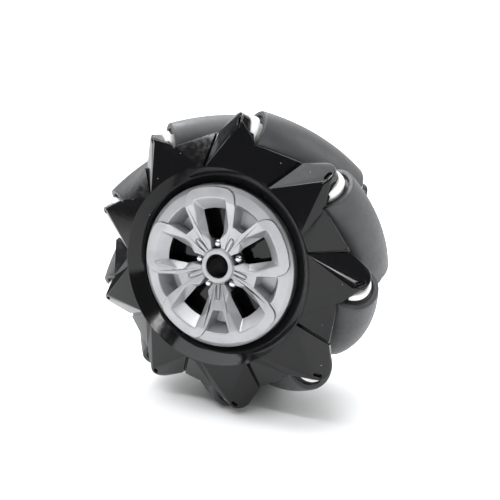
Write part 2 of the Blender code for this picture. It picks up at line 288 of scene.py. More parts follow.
def combine(piece, other, operation, place=None):
    """Cuts, joins or crosses the piece with the other one, which can be moved to a place first."""
    if place is not None:
        other.matrix_world = place
    step = piece.modifiers.new(operation.lower(), "BOOLEAN")
    step.operation = operation
    step.object = other
    return settle(piece)


def cleaned(piece, joined=0.01, flat=0.5):
    """The piece's mesh with doubled corners joined, flat faces made whole and pinholes filled."""
    mesh = bmesh.new()
    mesh.from_mesh(piece.data)
    bmesh.ops.remove_doubles(mesh, verts=mesh.verts, dist=joined)
    angle = math.radians(flat)
    bmesh.ops.dissolve_limit(mesh, angle_limit=angle, verts=mesh.verts, edges=mesh.edges)
    bmesh.ops.holes_fill(mesh, edges=[edge for edge in mesh.edges if edge.is_boundary], sides=0)
    return mesh


def soften(mesh, edges, width):
    """Rounds these edges of the mesh."""
    bmesh.ops.bevel(
        mesh,
        geom=edges,
        offset=width,
        offset_type="OFFSET",
        segments=3,
        profile=0.5,
        affect="EDGES",
        clamp_overlap=False,
    )


def smooth(piece, sharp=38.0):
    """Smooth shading that keeps flat faces flat and real edges sharp."""
    piece.data.shade_smooth()
    piece.data.set_sharp_from_angle(angle=math.radians(sharp))
    normals = piece.modifiers.new("flat_faces", "WEIGHTED_NORMAL")
    normals.keep_sharp = True
    return piece


def dress(piece, finish, body, node, place=Matrix()):
    """Turns the piece into metres in its place on its body, and lets it stand for its node."""
    piece.data.transform(place @ Matrix.Scale(MM, 4))
    if not piece.data.materials:
        piece.data.materials.append(finish)
    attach(piece, body)
    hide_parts(node)


# Places round the wheel


def around(degrees):
    return Matrix.Rotation(math.radians(degrees), 4, "Y")


def roller_place(index):
    """Local Z along the roller's axis, towards the back, and local X outwards."""
    outward = Vector((0, 0, 1))
    axis = Vector((1, 1, 0)).normalized()
    turn = Matrix((outward, axis.cross(outward), axis)).transposed().to_4x4()
    out = Matrix.Translation(outward * AXIS_RADIUS)
    return around(FIRST_ROLLER + PITCH * index) @ out @ turn


def in_metres(place):
    """The same place, with its distance from the origin in metres."""
    made = place.copy()
    made.translation = place.translation * MM
    return made


# These bring a point of the wheel into each roller's own frame.
INTO_ROLLERS = [roller_place(index).inverted() for index in range(ROLLERS)]


# Materials


def new_material(name, colour, roughness, metallic=0.0):
    made = bpy.data.materials.new(name)
    made.use_nodes = True
    shader = made.node_tree.nodes["Principled BSDF"]
    shader.inputs["Base Color"].default_value = (*colour, 1.0)
    shader.inputs["Roughness"].default_value = roughness
    shader.inputs["Metallic"].default_value = metallic
    return made, shader


class Nodes:
    """Short ways to add the procedural nodes that the materials share."""

    def __init__(self, made):
        self.tree = made.node_tree
        self.place = self.add("ShaderNodeTexCoord").outputs["Object"]

    def add(self, kind, **settings):
        node = self.tree.nodes.new(kind)
        for key, value in settings.items():
            setattr(node, key, value)
        return node

    def join(self, output, target):
        self.tree.links.new(output, target)

    def noise(self, size_mm, detail=3.0, stretch=(1.0, 1.0, 1.0)):
        mapping = self.add("ShaderNodeMapping")
        mapping.inputs["Scale"].default_value = stretch
        self.join(self.place, mapping.inputs["Vector"])
        node = self.add("ShaderNodeTexNoise")
        node.inputs["Scale"].default_value = 1.0 / (size_mm * MM)
        node.inputs["Detail"].default_value = detail
        self.join(mapping.outputs["Vector"], node.inputs["Vector"])
        return node.outputs["Fac"]

    def specks(self, spacing_mm, size_mm, share):
        """1 on small round specks that a share of the cells have, and 0 elsewhere."""
        cells = self.add("ShaderNodeTexVoronoi")
        cells.inputs["Scale"].default_value = 1.0 / (spacing_mm * MM)
        self.join(self.place, cells.inputs["Vector"])
        near = self.add("ShaderNodeMath", operation="LESS_THAN")
        self.join(cells.outputs["Distance"], near.inputs[0])
        near.inputs[1].default_value = size_mm / spacing_mm
        split = self.add("ShaderNodeSeparateColor")
        self.join(cells.outputs["Color"], split.inputs["Color"])
        chosen = self.add("ShaderNodeMath", operation="LESS_THAN")
        self.join(split.outputs["Red"], chosen.inputs[0])
        chosen.inputs[1].default_value = share
        both = self.add("ShaderNodeMath", operation="MULTIPLY")
        self.join(near.outputs[0], both.inputs[0])
        self.join(chosen.outputs[0], both.inputs[1])
        return both.outputs[0]

    def spread(self, value, low, high, start=0.3, end=0.7):
        """Maps a value between start and end to between low and high."""
        node = self.add("ShaderNodeMapRange")
        ends = (("From Min", start), ("From Max", end), ("To Min", low), ("To Max", high))
        for name, number in ends:
            node.inputs[name].default_value = number
        self.join(value, node.inputs["Value"])
        return node.outputs["Result"]

    def add_up(self, first, second):
        node = self.add("ShaderNodeMath", operation="ADD", use_clamp=True)
        self.join(first, node.inputs[0])
        self.join(second, node.inputs[1])
        return node.outputs[0]

    def colours(self, value, stops):
        node = self.add("ShaderNodeValToRGB")
        ramp = node.color_ramp
        for index, (position, colour) in enumerate(stops):
            stop = ramp.elements[index] if index < 2 else ramp.elements.new(position)
            stop.position = position
            stop.color = (*colour, 1.0)
        self.join(value, node.inputs["Fac"])
        return node.outputs["Color"]

    def bump(self, height, depth_mm, strength, shader):
        node = self.add("ShaderNodeBump")
        node.inputs["Strength"].default_value = strength
        node.inputs["Distance"].default_value = depth_mm * MM
        self.join(height, node.inputs["Height"])
        self.join(node.outputs["Normal"], shader.inputs["Normal"])


def gloss_black():
    """Polished moulded ABS, with a faint flow ripple and a few specks of dust."""
    made, shader = new_material("gloss_black_plastic", (0.011, 0.011, 0.012), 0.1)
    shader.inputs["Specular IOR Level"].default_value = 0.3
    nodes = Nodes(made)
    ripple = nodes.noise(9.0, 2.0)
    dust = nodes.specks(2.6, 0.12, 0.3)
    colour = nodes.colours(dust, [(0.0, (0.004, 0.004, 0.0045)), (1.0, (0.42, 0.42, 0.41))])
    nodes.join(colour, shader.inputs["Base Color"])
    haze = nodes.spread(nodes.noise(1.6), 0.06, 0.14)
    gloss = nodes.add_up(haze, nodes.spread(dust, 0.0, 0.5, 0.0, 1.0))
    nodes.join(gloss, shader.inputs["Roughness"])
    nodes.bump(ripple, 0.03, 0.15, shader)
    return made


def dark_rubber():
    """Satin moulded rubber, with a fine grain and slightly paler scuffed patches."""
    made, shader = new_material("dark_rubber", (0.032, 0.033, 0.035), 0.55)
    nodes = Nodes(made)
    patches = nodes.noise(7.0, 4.0)
    colour = nodes.colours(patches, [(0.3, (0.026, 0.027, 0.029)), (0.75, (0.042, 0.043, 0.046))])
    nodes.join(colour, shader.inputs["Base Color"])
    nodes.join(nodes.spread(nodes.noise(0.8), 0.42, 0.56), shader.inputs["Roughness"])
    nodes.bump(nodes.noise(0.22, 4.0), 0.03, 0.35, shader)
    return made


def white_nylon():
    """Natural moulded nylon: slightly warm, slightly waxy."""
    made, shader = new_material("white_nylon", (0.86, 0.855, 0.83), 0.35)
    shader.inputs["Subsurface Weight"].default_value = 0.15
    shader.inputs["Subsurface Radius"].default_value = (1.0, 0.9, 0.8)
    shader.inputs["Subsurface Scale"].default_value = 0.6 * MM
    nodes = Nodes(made)
    mottle = nodes.noise(2.5, 3.0)
    colour = nodes.colours(mottle, [(0.25, (0.8, 0.79, 0.76)), (0.7, (0.9, 0.895, 0.875))])
    nodes.join(colour, shader.inputs["Base Color"])
    nodes.join(nodes.spread(nodes.noise(0.6), 0.28, 0.42), shader.inputs["Roughness"])
    nodes.bump(nodes.noise(0.4, 3.0), 0.02, 0.2, shader)
    return made


def silver_paint():
    """Satin silver paint on plastic: metal flake, with a little grime where it has rubbed."""
    made, shader = new_material("silver_painted_plastic", (0.5, 0.5, 0.515), 0.36, 0.55)
    nodes = Nodes(made)
    flake = nodes.noise(0.12, 2.0)
    shade = nodes.noise(6.0, 3.0)
    mixed = nodes.add_up(nodes.spread(flake, 0.0, 0.35), nodes.spread(shade, 0.1, 0.65))
    colour = nodes.colours(mixed, [(0.0, (0.31, 0.31, 0.32)), (1.0, (0.44, 0.44, 0.45))])
    nodes.join(colour, shader.inputs["Base Color"])
    nodes.join(nodes.spread(nodes.noise(0.5), 0.3, 0.42), shader.inputs["Roughness"])
    nodes.bump(flake, 0.012, 0.3, shader)
    return made


def bright_steel():
    """Turned steel, with fine marks along each piece."""
    made, shader = new_material("bright_steel", (0.6, 0.6, 0.61), 0.25, 1.0)
    nodes = Nodes(made)
    marks = nodes.noise(0.15, 3.0, (1.0, 0.06, 1.0))
    colour = nodes.colours(marks, [(0.3, (0.5, 0.5, 0.51)), (0.7, (0.66, 0.66, 0.67))])
    nodes.join(colour, shader.inputs["Base Color"])
    nodes.join(nodes.spread(marks, 0.2, 0.34), shader.inputs["Roughness"])
    nodes.bump(marks, 0.008, 0.3, shader)
    return made


def matt_black():
    """Black plastic with a spark-eroded grain."""
    made, shader = new_material("matt_black_plastic", (0.006, 0.006, 0.006), 0.5)
    shader.inputs["Specular IOR Level"].default_value = 0.3
    nodes = Nodes(made)
    grain = nodes.noise(0.3, 3.0)
    colour = nodes.colours(grain, [(0.3, (0.004, 0.004, 0.0045)), (0.7, (0.008, 0.008, 0.0085))])
    nodes.join(colour, shader.inputs["Base Color"])
    nodes.join(nodes.spread(grain, 0.4, 0.6), shader.inputs["Roughness"])
    nodes.bump(grain, 0.02, 0.3, shader)
    return made


# The rollers


def barrel_radius(place):
    """The roller's radius at this place along its axis: its outside lies on the wheel's circle."""
    low, high = 0.0, 2.0 * abs(place) + 1.0
    for _ in range(40):
        middle = (low + high) / 2
        reach = math.hypot(AXIS_RADIUS, middle / math.sqrt(2))
        lean = middle / math.sqrt(2) / reach
        if middle + (WHEEL_RADIUS - reach) * lean / math.sqrt(2) < abs(place):
            low = middle
        else:
            high = middle
    reach = math.hypot(AXIS_RADIUS, low / math.sqrt(2))
    lean = low / math.sqrt(2) / reach
    return (WHEEL_RADIUS - reach) * math.sqrt(1 - lean * lean / 2)


def barrel_profile(half, steps, extra=0.0):
    """The barrel's outside as (radius, height) points, from its top end to its bottom one."""
    places = [half * math.sin(math.pi / 2 * (1 - 2 * step / steps)) for step in range(steps + 1)]
    return [(barrel_radius(place) + extra, place) for place in places]


def tyre():
    """The rubber barrel, with a rounded lip standing up round each end."""
    body = [(radius, place, 0) for radius, place in barrel_profile(ROLLER_HALF - 0.9, 30)]
    end = barrel_radius(ROLLER_HALF)
    recess = ROLLER_HALF - LIP_DEPTH
    near = [
        (end, -ROLLER_HALF, 0.45),
        (LIP_RADIUS, -ROLLER_HALF, 0.4),
        (LIP_RADIUS - 0.15, -recess, 0.25),
        (TYRE_BORE, -recess, 0),
    ]
    far = [(radius, -height, bend) for radius, height, bend in reversed(near)]
    return turned("tyre", rounded(body + near + far), 96)


def bush():
    """A flanged nylon bush: a spigot in the tyre, a thick washer and a low ring at its face."""
    profile = [
        (BUSH_RADIUS - 0.35, BUSH_OUTER_FACE, 0.6),
        (BUSH_RADIUS, BUSH_INNER_FACE + 0.8, 0.6),
        (BUSH_RADIUS, BUSH_INNER_FACE, 0.2),
        (SPIGOT_RADIUS, BUSH_INNER_FACE, 0),
        (SPIGOT_RADIUS, SPIGOT_END, 0.3),
        (AXLE_RADIUS + 0.08, SPIGOT_END, 0.2),
        (AXLE_RADIUS + 0.08, BUSH_OUTER_FACE + 0.2, 0.15),
        (2.7, BUSH_OUTER_FACE + 0.2, 0.12),
        (2.8, BUSH_OUTER_FACE, 0.1),
    ]
    return turned("bush", rounded(profile), 72)


def axle():
    end = AXLE_END
    profile = [(0, end, 0), (AXLE_RADIUS, end, 0.3), (AXLE_RADIUS, -end, 0.3), (0, -end, 0)]
    return turned("axle", rounded(profile, closed=False), 40, closed=False)


def make_rollers(rubber, nylon, steel):
    patterns = {"tyre": smooth(tyre()), "bush": smooth(bush()), "axle": smooth(axle())}
    same, flip = Matrix(), Matrix.Rotation(math.pi, 4, "X")
    for index in range(ROLLERS):
        number = index + 1
        place = in_metres(roller_place(index))
        body = f"roller_{number}"
        for pattern, name, turn, finish, slot, rides in (
            ("tyre", f"{body}_tyre", same, rubber, "rubber", body),
            ("bush", f"{body}_rear_bush", same, nylon, "nylon", body),
            ("bush", f"{body}_front_bush", flip, nylon, "nylon", body),
            ("axle", f"axle_{number}", same, steel, "steel", "wheel"),
        ):
            piece = copied(patterns[pattern], f"{name}_looks")
            dress(piece, finish, rides, name, place @ turn)
    remove(*patterns.values())


# The flanges


def claw_point(corner, behind=0.0):
    """A corner of the claw of the roller at the top, moved back by the distance behind."""
    degrees, radius, height = corner
    angle = math.radians(degrees - TIP_ANGLE)
    return Vector((radius * math.sin(angle), behind - height, radius * math.cos(angle)))


def claw_walls(*corners):
    """These corners of the claw's face, and the ones behind them."""
    return [claw_point(corner, behind) for corner in corners for behind in (0, CLAW_WALL)]


def foot_and_root(first, last, steps):
    """The claw's foot on the band's outer edge, and its root inside the drum's wall."""
    foot = []
    for step in range(steps + 1):
        foot.append(tuple(a + (b - a) * step / steps for a, b in zip(first, last)))
    return [claw_point(corner) for corner in foot + [(corner[0], *CLAW_ROOT) for corner in foot]]


def boss_circle(height):
    """The round end of the claw's axle boss at this place along the roller's axis."""
    turn = around(-FIRST_ROLLER) @ roller_place(0)
    return [turn @ Vector((x, y, height)) for x, y in polygon(BOSS_RADIUS, 48)]


def claw():
    """One claw with its axle boss, and the lower web that joins it to the next claw."""
    walls = claw_walls(BUSH_CORNER, LEADING_CORNER)
    boss = boss_circle(-BOSS_END) + boss_circle(-BOSS_FACE)
    main = hull("claw", foot_and_root(RIDGE_FOOT, BEND_FOOT, 10) + walls + boss)

    walls = claw_walls(BUSH_CORNER, TRAILING_CORNER)
    web = hull("claw_web", foot_and_root(BEND_FOOT, NOTCH_FOOT, 3) + walls)

    ends = [NOTCH_FOOT, (PITCH + RIDGE_FOOT[0], *NOTCH_FOOT[1:]), TRAILING_CORNER]
    ends.append((PITCH + LEADING_CORNER[0], TRAILING_CORNER[1], LEADING_CORNER[2]))
    strip = [claw_point(corner, back) for corner in ends for back in (NOTCH_STEP, CLAW_WALL)]
    strip += [claw_point((corner[0], *CLAW_ROOT)) for corner in ends[:2]]
    notch = hull("claw_notch", strip)
    for part in (web, notch):
        combine(main, part, "UNION")
    remove(web, notch)
    return main


def band_ring():
    """The drum's half and the band, as one turned section; its dished inside is cut later."""
    profile = [
        (DRUM_INNER, DRUM_MIDDLE),
        (DRUM_INNER, DISH_FLOOR + 0.1),
        (DRUM_INNER - 0.1, DISH_FLOOR + 0.2),
        (DRUM_INNER - 0.1, BAND_BACK - 0.6),
        (BAND_INNER - 0.1, BAND_BACK),
        (BAND_OUTER - BAND_LIP - 0.1, BAND_FRONT),
        (BAND_OUTER - 0.2, BAND_FRONT),
        (BAND_OUTER - 0.06, BAND_FRONT - 0.06),
        (BAND_OUTER, BAND_FRONT - 0.2),
        (BAND_OUTER, BAND_FRONT - 1.5),
        (DRUM_OUTER, BAND_BACK - 0.8),
        (DRUM_OUTER, DRUM_MIDDLE),
    ]
    ring = turned("ring", profile, 180)
    ring.data.transform(FACE)
    return ring


def band_dish():
    """What is cut from inside the band, so that its dish is one clean cone."""
    rise = 0.8
    edge = BAND_OUTER - BAND_LIP
    reach = edge + rise * (edge - BAND_INNER) / (BAND_FRONT - BAND_BACK)
    profile = [
        (0, BAND_FRONT + rise),
        (reach, BAND_FRONT + rise),
        (BAND_INNER, BAND_BACK),
        (DRUM_INNER, BAND_BACK - 0.6),
        (DRUM_INNER, DISH_FLOOR),
        (0, DISH_FLOOR),
    ]
    dish = turned("dish", profile, 180, closed=False)
    dish.data.transform(FACE)
    return dish


def roller_room():
    """The room that a turning roller and its two bushes need."""
    cone_end = ROOM_HALF + ROOM_CONE
    profile = [(0, BOSS_FACE), (BUSH_ROOM, BOSS_FACE), (BUSH_ROOM, cone_end)]
    profile += barrel_profile(ROOM_HALF, 14, ROLLER_ROOM)
    profile += [(BUSH_ROOM, -cone_end), (BUSH_ROOM, -BOSS_FACE), (0, -BOSS_FACE)]
    return turned("roller_room", profile, 72, closed=False)


def on_room(point):
    """Whether a point lies on the room cut for one of the rollers."""
    barrel_end = barrel_radius(ROOM_HALF) + ROLLER_ROOM
    for into_roller in INTO_ROLLERS:
        local = into_roller @ point
        radius, place = math.hypot(local.x, local.y), abs(local.z)
        if place > BOSS_FACE + 0.03:
            continue
        if abs(radius - BUSH_ROOM) < 0.08 or place > BOSS_FACE - 0.03:
            return True
        if place <= ROOM_HALF and abs(radius - barrel_radius(place) - ROLLER_ROOM) < 0.12:
            return True
        beyond = place - ROOM_HALF
        cone = barrel_end - beyond * (barrel_end - BUSH_ROOM) / ROOM_CONE
        if -0.05 < beyond < ROOM_CONE + 0.05 and abs(radius - cone) < 0.1:
            return True
    return False


def claw_edges(mesh):
    """The claws' own edges, and where the rollers' room meets them; the band's are left out."""
    cut = {face: on_room(face.calc_center_median()) for face in mesh.faces}
    found = []
    for edge in mesh.edges:
        if not edge.is_manifold:
            continue
        inner = min(vert.co.xz.length for vert in edge.verts)
        first, second = edge.link_faces
        if inner < BAND_OUTER + 0.3 or (cut[first] and cut[second]):
            continue
        if edge.calc_face_angle(0) > CLAW_SHARP:
            found.append(edge)
    return found


def tip_pocket():
    """The small round-ended pocket in a claw's tip, beside its boss."""
    low, high = claw_point(POCKET_LOW), claw_point(POCKET_HIGH)
    along = (high - low).normalized()
    inward = Vector(POCKET_INWARD)
    inward = (inward - along * inward.dot(along)).normalized()
    turn = Matrix((along.cross(inward), along, inward)).transposed().to_4x4()
    half = (high - low).length / 2
    pocket = prism("pocket", slot_outline(-half, half, POCKET_WIDTH / 2), -2.0, POCKET_DEPTH)
    pocket.data.transform(Matrix.Translation((low + high) / 2) @ turn)
    return pocket


def claw_ring():
    """The band and drum with all their claws, cut clear of the rollers and softened."""
    body = band_ring()
    pattern = claw()
    turns = [around(FIRST_ROLLER + PITCH * index) for index in range(ROLLERS)]
    for turn in turns:
        combine(body, pattern, "UNION", turn)
    dish = band_dish()
    combine(body, dish, "DIFFERENCE")
    room = roller_room()
    for index in range(ROLLERS):
        combine(body, room, "DIFFERENCE", roller_place(index))
    pocket = tip_pocket()
    for turn in turns:
        combine(body, pocket, "DIFFERENCE", turn)
    mesh = cleaned(body)
    soften(mesh, claw_edges(mesh), CLAW_EDGE)
    remove(body, pattern, dish, room, pocket)
    return mesh_object("claw_ring", mesh)


def web_disc(front, back, holes):
    """The round wall inside the drum, with its screw holes if it has any."""
    profile = [
        (WEB_BORE, front, 0.3),
        (DRUM_INNER + 0.2, front, 0),
        (DRUM_INNER + 0.2, back, 0),
        (WEB_BORE, back, 0.3),
    ]
    disc = turned("web", rounded(profile), 120)
    disc.data.transform(FACE)
    if holes:
        hole = prism("hole", polygon(SCREW_HOLE, 32), back - 1, front + 1)
        place = Matrix.Translation((0, 0, SCREW_CIRCLE)) @ FACE
        for index in range(SCREWS):
            turn = around(SCREW_START + 360 / SCREWS * index)
            combine(disc, hole, "DIFFERENCE", turn @ place)
        remove(hole)
    return disc


def join_meshes(name, *pieces):
    """One piece of several separate meshes; the pieces themselves go."""
    mesh = bmesh.new()
    for piece in pieces:
        mesh.from_mesh(piece.data)
    remove(*pieces)
    return mesh_object(name, mesh)


def make_flanges(gloss):
    ring = claw_ring()
    back_ring = copied(ring, "back_ring")
    turn = around(FIRST_ROLLER) @ Matrix.Rotation(math.pi, 4, "Z") @ around(-FIRST_ROLLER)
    back_ring.data.transform(turn)
    front_web = web_disc(*FRONT_WEB, holes=False)
    front = join_meshes("front_flange_looks", ring, front_web)
    rear_web = web_disc(*REAR_WEB, holes=True)
    rear = join_meshes("rear_flange_looks", back_ring, rear_web)
    dress(smooth(front), gloss, "wheel", "front_flange")
    dress(smooth(rear), gloss, "wheel", "rear_flange")


# The rim cover


def on_arc(radius, degrees):
    angle = math.radians(degrees)
    return radius * math.sin(angle), radius * math.cos(angle)


def star_outline(extra=0.0):
    """The five raised frames: straight sides, round tops and corners, meeting on the stems."""
    top = PETAL_TOP + extra
    side = PETAL_SIDE + extra
    corner = (side, math.sqrt(top * top - side * side))
    between = 180.0 / SPOKES
    corners = []
    for index in range(SPOKES):
        petal = [(-corner[0], corner[1], PETAL_CORNER + extra)]
        petal += [(*on_arc(top, degrees), 0) for degrees in (-8, -4, 0, 4, 8)]
        petal += [(*corner, PETAL_CORNER + extra), (*on_arc(STEM_FORK, between), 0)]
        turn = Matrix.Rotation(-math.tau / SPOKES * index, 2)
        for x, y, bend in petal:
            corners.append((*(turn @ Vector((x, y))), bend))
    return rounded(corners, 6)


def slot_outline(inner, outer, half):
    """A slot along Y, with round ends."""
    corners = ((-half, inner), (half, inner), (half, outer), (-half, outer))
    return rounded([(x, y, half * 0.99) for x, y in corners], 6)


def spoke_height(radius):
    """The height of the spokes' sloping tops at this radius."""
    return STEM_HEIGHT + (radius - STEM_START) * math.tan(SPOKE_SLOPE)


def on_spoke(radius):
    """The place on a spoke's sloping top at this radius, with local Z standing on it."""
    place = Matrix.Translation((0, radius, spoke_height(radius)))
    return place @ Matrix.Rotation(SPOKE_SLOPE, 4, "X")


def rim_blank():
    """The dished disc with its five raised frames, before any opening is cut."""
    low_crown = RIM_CROWN - PETAL_RISE
    base = [
        (HUB_HOLE, RIM_BACK + 0.3, 0),
        (HUB_HOLE, RIM_BASE, 0),
        (STEM_START, RIM_BASE, 0.3),
        (CROWN_START, low_crown, 1.0),
        (24.2, low_crown - 0.1, 0.8),
        (RIM_RADIUS, RIM_EDGE, 0.5),
        (RIM_RADIUS, RIM_BACK, 0.4),
        (HUB_HOLE, RIM_BACK, 0),
    ]
    blank = turned("rim", rounded(base), 180)
    raised = [
        (HUB_HOLE, RIM_HUB_FACE, 0.35),
        (HUB_BOSS, RIM_HUB_FACE, 0.45),
        (HUB_BOSS + 0.25, STEM_HEIGHT - 0.35, 0.15),
        (STEM_START, STEM_HEIGHT, 0.4),
        (CROWN_START, RIM_CROWN, 1.2),
        (FRAME_RADIUS, RIM_CROWN, 0),
        (FRAME_RADIUS, RIM_BACK + 1, 0),
        (HUB_HOLE, RIM_BACK + 1, 0),
    ]
    spokes = turned("spokes", rounded(raised), 180)
    star = prism("star", star_outline(), 5, 30)
    groove = prism("groove", star_outline(GROOVE_WIDTH), low_crown - GROOVE_DEPTH, 30)
    combine(blank, groove, "DIFFERENCE")
    combine(spokes, star, "INTERSECT")
    combine(blank, spokes, "UNION")
    remove(spokes, star, groove)
    return blank


def dish_height(x, y):
    """The height of the raised frames' dished top at this point of the front view."""
    return min(RIM_CROWN, spoke_height(Vector((x, y)).length))


def tapered(name, mouth, bottom, floor, ceiling=None):
    """A cutter whose walls run from a mouth on the dish, or at a level ceiling, to its floor.

    One that starts on the dish carries on above it by a quarter of its depth.
    """
    mesh = bmesh.new()
    low = [Vector((x, y, floor)) for x, y in bottom]
    top = [Vector((x, y, ceiling or dish_height(x, y))) for x, y in mouth]
    if ceiling is None:
        top = [point + (point - under) * 0.25 for point, under in zip(top, low)]
    rows = [[mesh.verts.new(point) for point in row] for row in (low, top)]
    for row in rows:
        mesh.faces.new(row)
    count = len(low)
    for index in range(count):
        after = (index + 1) % count
        mesh.faces.new((rows[0][index], rows[0][after], rows[1][after], rows[1][index]))
    bmesh.ops.triangulate(mesh, faces=mesh.faces)
    bmesh.ops.recalc_face_normals(mesh, faces=mesh.faces)
    return mesh_object(name, mesh)


def both_sides(right):
    """The corners of the right half, from the hub outwards, and their mirror images."""
    return rounded(right + [(-x, y, bend) for x, y, bend in reversed(right) if x > 0])


def rim_openings():
    """The cutters for one spoke, in the front view's plane, each with its first angle."""
    mouth = [(1.7, 8.4, 0.3), (4.9, 10.8, 1.2), (5.45, 20.8, 0.7), (2.7, 21.33, 0), (0, 21.5, 0)]
    throat = [(1.6, 8.9, 0.2), (2.5, 10.4, 0.5), (3.7, 17.8, 0.4), (1.8, 18.1, 0), (0, 18.2, 0)]
    back = [(2.6, 8.0, 0.2), (4.0, 10.0, 0.5), (5.6, 19.6, 0.4), (1.8, 19.9, 0), (0, 20.0, 0)]
    mouth, throat, back = both_sides(mouth), both_sides(throat), both_sides(back)
    window = tapered("window", mouth, throat, WINDOW_FLOOR)
    through = tapered("throat", throat, back, RIM_BACK - 0.5, WINDOW_FLOOR + 0.3)
    mouth = both_sides([(1.75, 13.9, 0.4), (4.25, 20.7, 0.5), (2.1, 21.15, 0), (0, 21.25, 0)])
    floor = both_sides([(1.45, 14.3, 0.3), (3.1, 18.5, 0.3), (1.5, 18.8, 0), (0, 18.9, 0)])
    pocket = tapered("pocket", mouth, floor, POCKET_FLOOR)
    corners = ((-1.65, 5.5), (1.65, 5.5), (1.65, 9.5), (-1.65, 9.5))
    square = rounded([(x, y, 0.3) for x, y in corners])
    seat = prism("lug_seat", square, LUG_SEAT, RIM_CROWN + 2)
    slot = prism("slot", slot_outline(-2.6, 2.4, 0.78), -0.5, 3)
    slot.data.transform(on_spoke(SLOT_PLACE))
    between = 180.0 / SPOKES
    return ((through, 0), (window, 0), (seat, 0), (pocket, between), (slot, between))


def off_window(x, y):
    """The angle of a point of the front view, counted from the nearest window's middle."""
    turn = math.degrees(math.atan2(x, y))
    return (turn + 180.0 / SPOKES) % (360.0 / SPOKES) - 180.0 / SPOKES


def on_opening(point):
    """Whether a point is on the mouth of a window, a pocket or a seat, clear of the grooves."""
    radius = point.xy.length
    x, y = on_arc(radius, off_window(point.x, point.y))
    beside_groove = abs(abs(x) - PETAL_SIDE - 0.3) < 0.8 and y > GROOVE_SIDE
    near_groove = radius > GROOVE_TOP or beside_groove
    return point.z > WINDOW_FLOOR + 0.3 and radius > HUB_BOSS + 0.6 and not near_groove


def rim_cover():
    """The cover with its openings cut and softened, and a raised bar in each stem's slot."""
    cover = rim_blank()
    between = math.pi / SPOKES
    turns = [Matrix.Rotation(-2 * between * index, 4, "Z") for index in range(SPOKES)]
    for cutter, start in rim_openings():
        first = Matrix.Rotation(-math.radians(start), 4, "Z")
        for turn in turns:
            combine(cover, cutter, "DIFFERENCE", turn @ first)
        remove(cutter)
    mesh = cleaned(cover, 0.005, 0.3)
    edges = []
    for edge in mesh.edges:
        middle = (edge.verts[0].co + edge.verts[1].co) / 2
        if edge.is_manifold and edge.calc_face_angle(0) > RIM_SHARP and on_opening(middle):
            edges.append(edge)
    soften(mesh, edges, RIM_EDGE_ROUND)
    made = mesh_object("rim_cover_looks", mesh)
    bar = prism("bar", slot_outline(-2.9, 1.95, 0.36), -0.8, -0.02)
    bars = [copied(bar, "bar") for turn in turns]
    for turn, piece in zip(turns, bars):
        stem = turn @ Matrix.Rotation(-between, 4, "Z")
        piece.data.transform(stem @ on_spoke(SLOT_PLACE))
    remove(bar, cover)
    made = join_meshes("rim_cover_looks", made, *bars)
    made.data.transform(around(SPOKE_TURN) @ FACE)
    return made


def bare_hub_and_shaded_windows(cover, bare_and_shade):
    """Bare plastic inside the hub's hole, and painted shade on the window walls below the floor:
    these faces take the matt black material.
    """
    cover.data.materials.append(bare_and_shade)
    upright = around(-SPOKE_TURN)
    for face in cover.data.polygons:
        radius = face.center.xz.length
        height = -face.center.y
        middle = upright @ face.center
        aside = abs(off_window(middle.x, middle.z))
        in_window = height < WINDOW_FLOOR - 0.05 and aside < WINDOW_HALF_ANGLE
        in_hub = radius < HUB_HOLE + 0.15 and height < RIM_HUB_FACE - 0.5
        # Painted shade: deep window walls turn matt black so they look shaded; the hub's hole is
        # bare, unpainted plastic.
        if in_hub or (in_window and radius < RIM_RADIUS - 0.6):
            face.material_index = 1


def make_rim(silver, bare_and_shade):
    cover = smooth(rim_cover(), 30.0)
    cover.data.materials.append(silver)
    bare_hub_and_shaded_windows(cover, bare_and_shade)
    dress(cover, silver, "wheel", "rim_cover")


# Fasteners and the coupling


def socket(piece, across, low, high):
    """Cuts a hexagonal key's socket into a piece that stands on Z."""
    cutter = prism("key", polygon(across / math.sqrt(3), 6), low, high)
    combine(piece, cutter, "DIFFERENCE")
    remove(cutter)


def lug_bolt():
    """A small domed bolt."""
    profile = [
        (0, 1.35, 0),
        (0.7, 1.3, 0.6),
        (1.25, 0.75, 0.35),
        (1.25, 0, 0.1),
        (0.8, 0, 0),
        (0.8, -3, 0.2),
        (0, -3, 0),
    ]
    return turned("lug_bolt", rounded(profile, closed=False), 48, closed=False)


def assembly_screw():
    """A button-headed screw with a hexagonal socket."""
    profile = [
        (0, 1.8, 0),
        (1.3, 1.8, 0.5),
        (2.4, 0.7, 0.5),
        (2.4, 0, 0.1),
        (1.25, 0, 0),
        (1.25, -8, 0.3),
        (0, -8, 0),
    ]
    screw = turned("assembly_screw", rounded(profile, closed=False), 64, closed=False)
    socket(screw, 2.0, 0.5, 3)
    return screw


def set_screw():
    """A grub screw with a hexagonal socket in its outer end."""
    profile = [(0, 5.6, 0), (1.3, 5.6, 0.25), (1.3, 3.3, 0.3), (0, 3.3, 0)]
    screw = turned("set_screw", rounded(profile, closed=False), 40, closed=False)
    socket(screw, 1.3, 4.4, 7)
    return screw


